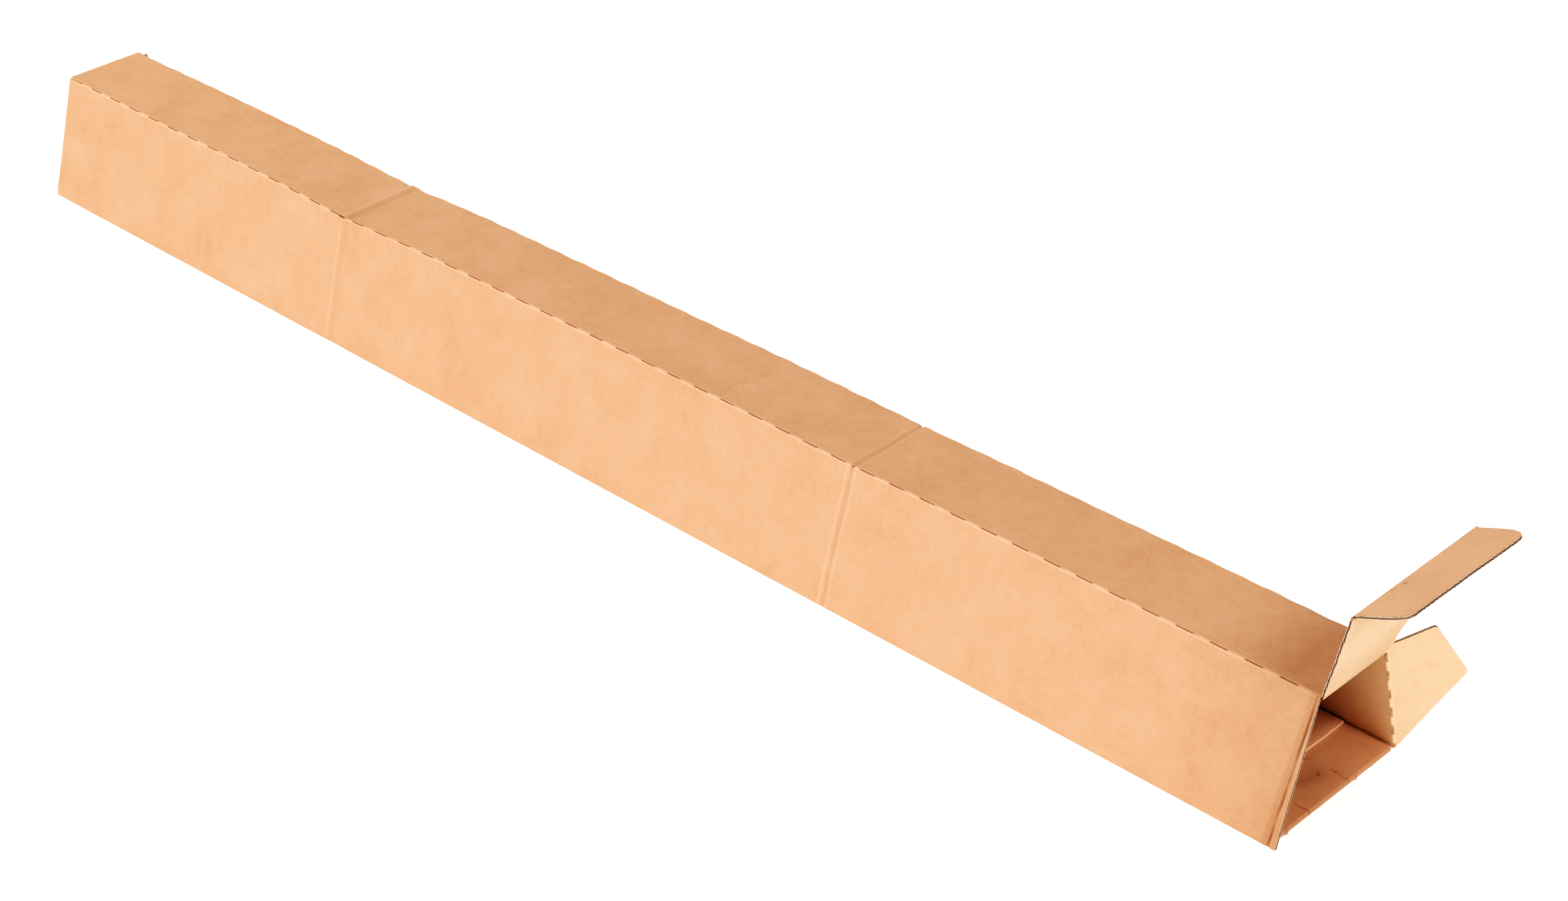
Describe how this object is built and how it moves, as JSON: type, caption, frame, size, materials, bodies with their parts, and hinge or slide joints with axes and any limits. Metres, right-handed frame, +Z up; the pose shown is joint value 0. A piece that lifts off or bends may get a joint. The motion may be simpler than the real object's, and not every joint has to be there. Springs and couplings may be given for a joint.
{
  "type": "trapezoid shipping box",
  "caption": "Long corrugated shipping box of trapezoid section, folded from a single sheet, with a tuck-in lid and a side dust flap at either end.",
  "frame": {"origin": "middle of the box's length and width, on the face it rests on", "axes": "+X along the box towards the open end, +Y across it towards the wall with the dust flaps, +Z up"},
  "size_m": [1.0563, 0.1293, 0.1594],
  "materials": {
    "box_body": "matt brown kraft outside, cream inside",
    "near_lid": "matt cream inner face, brown kraft outer face",
    "near_tongue": "matt brown kraft",
    "far_lid": "matt brown kraft",
    "far_tongue": "matt brown kraft"
  },
  "bodies": {
    "body": {"box_body": "box_body"},
    "near_lid": {"near_lid": "near_lid"},
    "near_tongue": {"near_tongue": "near_tongue"},
    "far_lid": {"far_lid": "far_lid"},
    "far_tongue": {"far_tongue": "far_tongue"}
  },
  "joints": [
    {"name": "near_lid_fold", "type": "hinge", "parent": "body", "child": "near_lid", "pos_m": [0.5018, 0, 0.07773], "axis": [0, 1, 0], "range_deg": [-37, 160.6]},
    {"name": "near_tongue_fold", "type": "hinge", "parent": "near_lid", "child": "near_tongue", "pos_m": [0.52638, 0, 0.14752], "axis": [0, 1, 0], "range_deg": [-16.5, 67]},
    {"name": "far_lid_fold", "type": "hinge", "parent": "body", "child": "far_lid", "pos_m": [-0.5018, 0, 0.07773], "axis": [0, 1, 0], "range_deg": [0, 197]},
    {"name": "far_tongue_fold", "type": "hinge", "parent": "far_lid", "child": "far_tongue", "pos_m": [-0.5018, 0, 0.00373], "axis": [0, 1, 0], "range_deg": [0, 80.5]}
  ],
  "couplings": [
    {"joint": "near_tongue_fold", "follows": "near_lid_fold", "ratio": 0.397},
    {"joint": "far_tongue_fold", "follows": "far_lid_fold", "ratio": 0.397}
  ]
}
